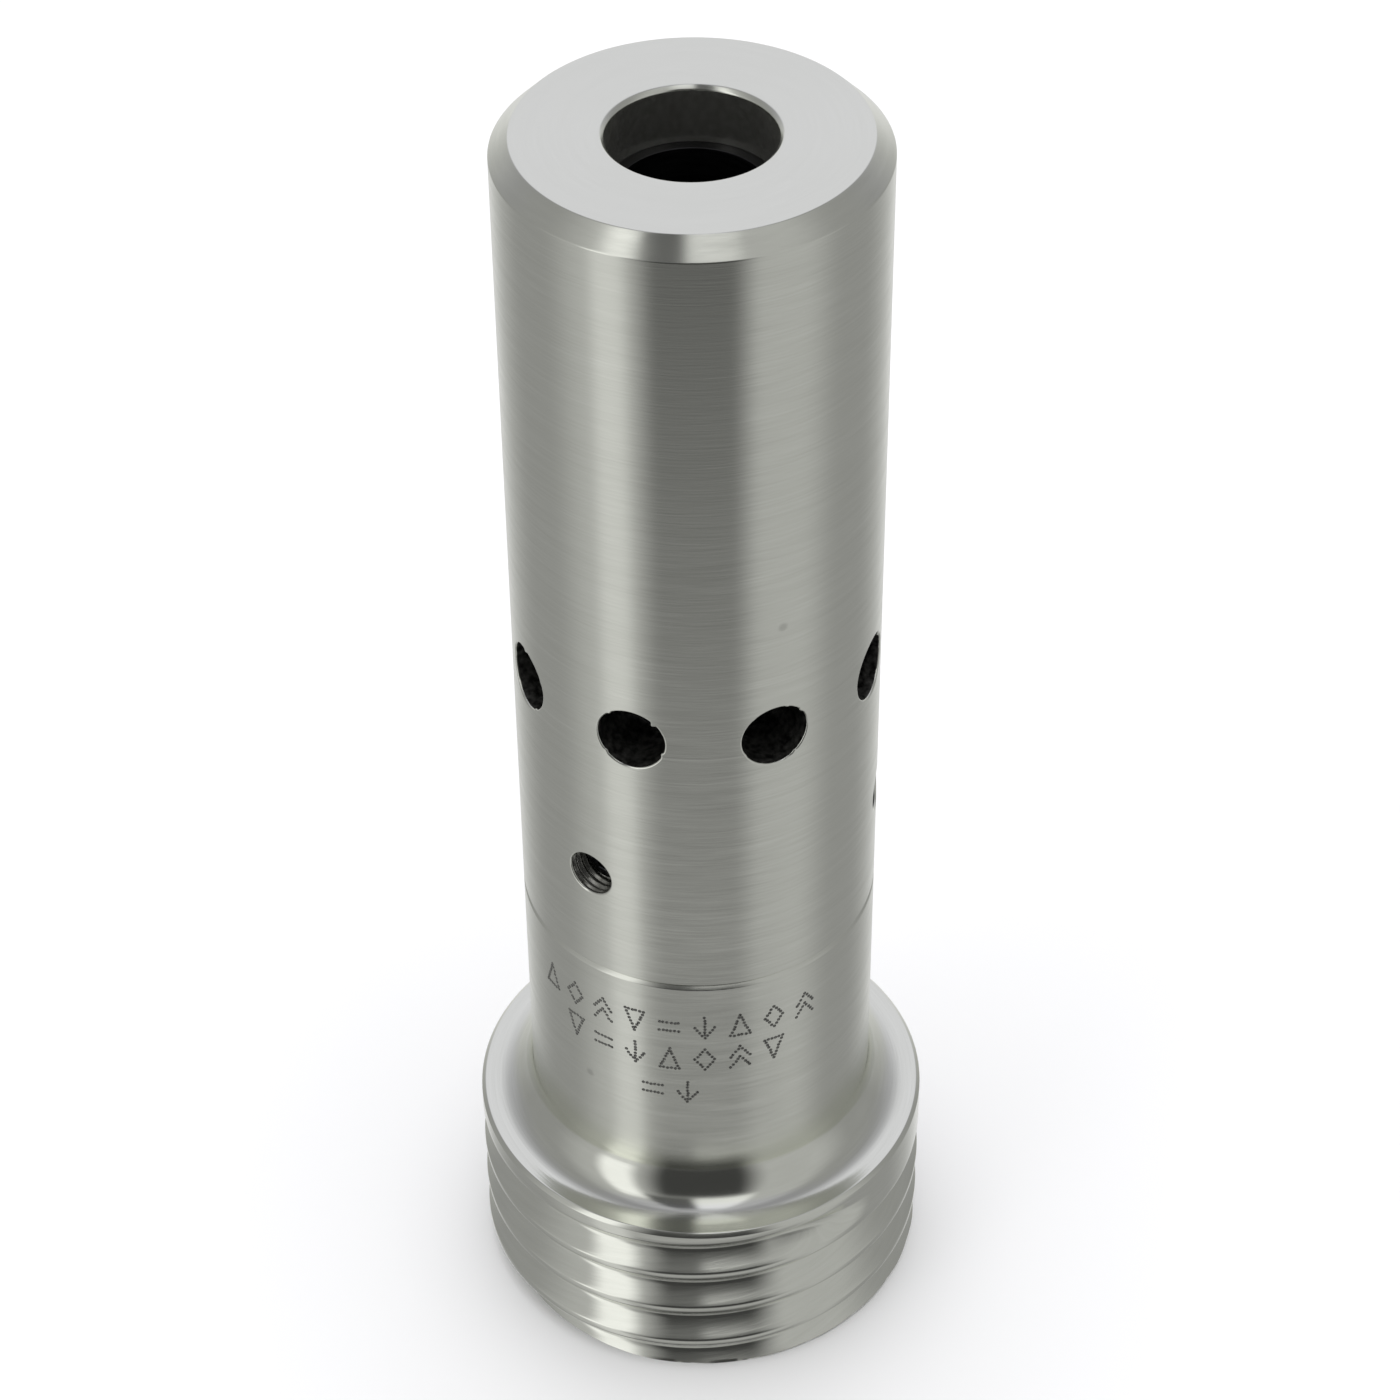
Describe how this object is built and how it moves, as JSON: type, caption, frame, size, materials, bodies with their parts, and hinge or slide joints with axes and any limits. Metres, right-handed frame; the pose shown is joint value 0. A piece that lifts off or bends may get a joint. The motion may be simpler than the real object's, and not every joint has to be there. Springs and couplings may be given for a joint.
{
  "type": "air-induction abrasive blast nozzle",
  "caption": "Round metal blast nozzle with a coarse threaded inlet head, a barrel with a ring of air holes, small set screws and a bored exit.",
  "frame": {"origin": "centre of the inlet face, on the nozzle's axis", "axes": "+Z along the bore from inlet to exit; -Y through one air hole"},
  "size_m": [0.05, 0.05, 0.1473],
  "materials": {
    "turned_aluminium": "fine turned",
    "carbide": "ground, hard",
    "adhesive": "cured epoxy",
    "black_steel": "black oxide"
  },
  "bodies": {
    "jacket": {"rear_body": "turned_aluminium", "inlet_liner": "carbide", "inlet_liner_bond": "adhesive"},
    "sleeve": {"front_sleeve": "turned_aluminium", "exit_liner": "carbide", "exit_liner_bond": "adhesive"},
    "screw_1": {"set_screw_1": "black_steel"},
    "screw_2": {"set_screw_2": "black_steel"},
    "screw_3": {"set_screw_3": "black_steel"}
  },
  "joints": [
    {"name": "sleeve_slide", "type": "slide", "parent": "jacket", "child": "sleeve", "axis": [0, 0, 1], "range_m": [0, 0.026]},
    {"name": "screw_1_withdraw", "type": "slide", "parent": "sleeve", "child": "screw_1", "axis": [-0.2689, -0.9632, 0], "range_m": [0, 0.0065]},
    {"name": "screw_2_withdraw", "type": "slide", "parent": "sleeve", "child": "screw_2", "axis": [0.9686, 0.2487, 0], "range_m": [0, 0.0065]},
    {"name": "screw_3_withdraw", "type": "slide", "parent": "sleeve", "child": "screw_3", "axis": [-0.6997, 0.7145, 0], "range_m": [0, 0.0065]}
  ]
}
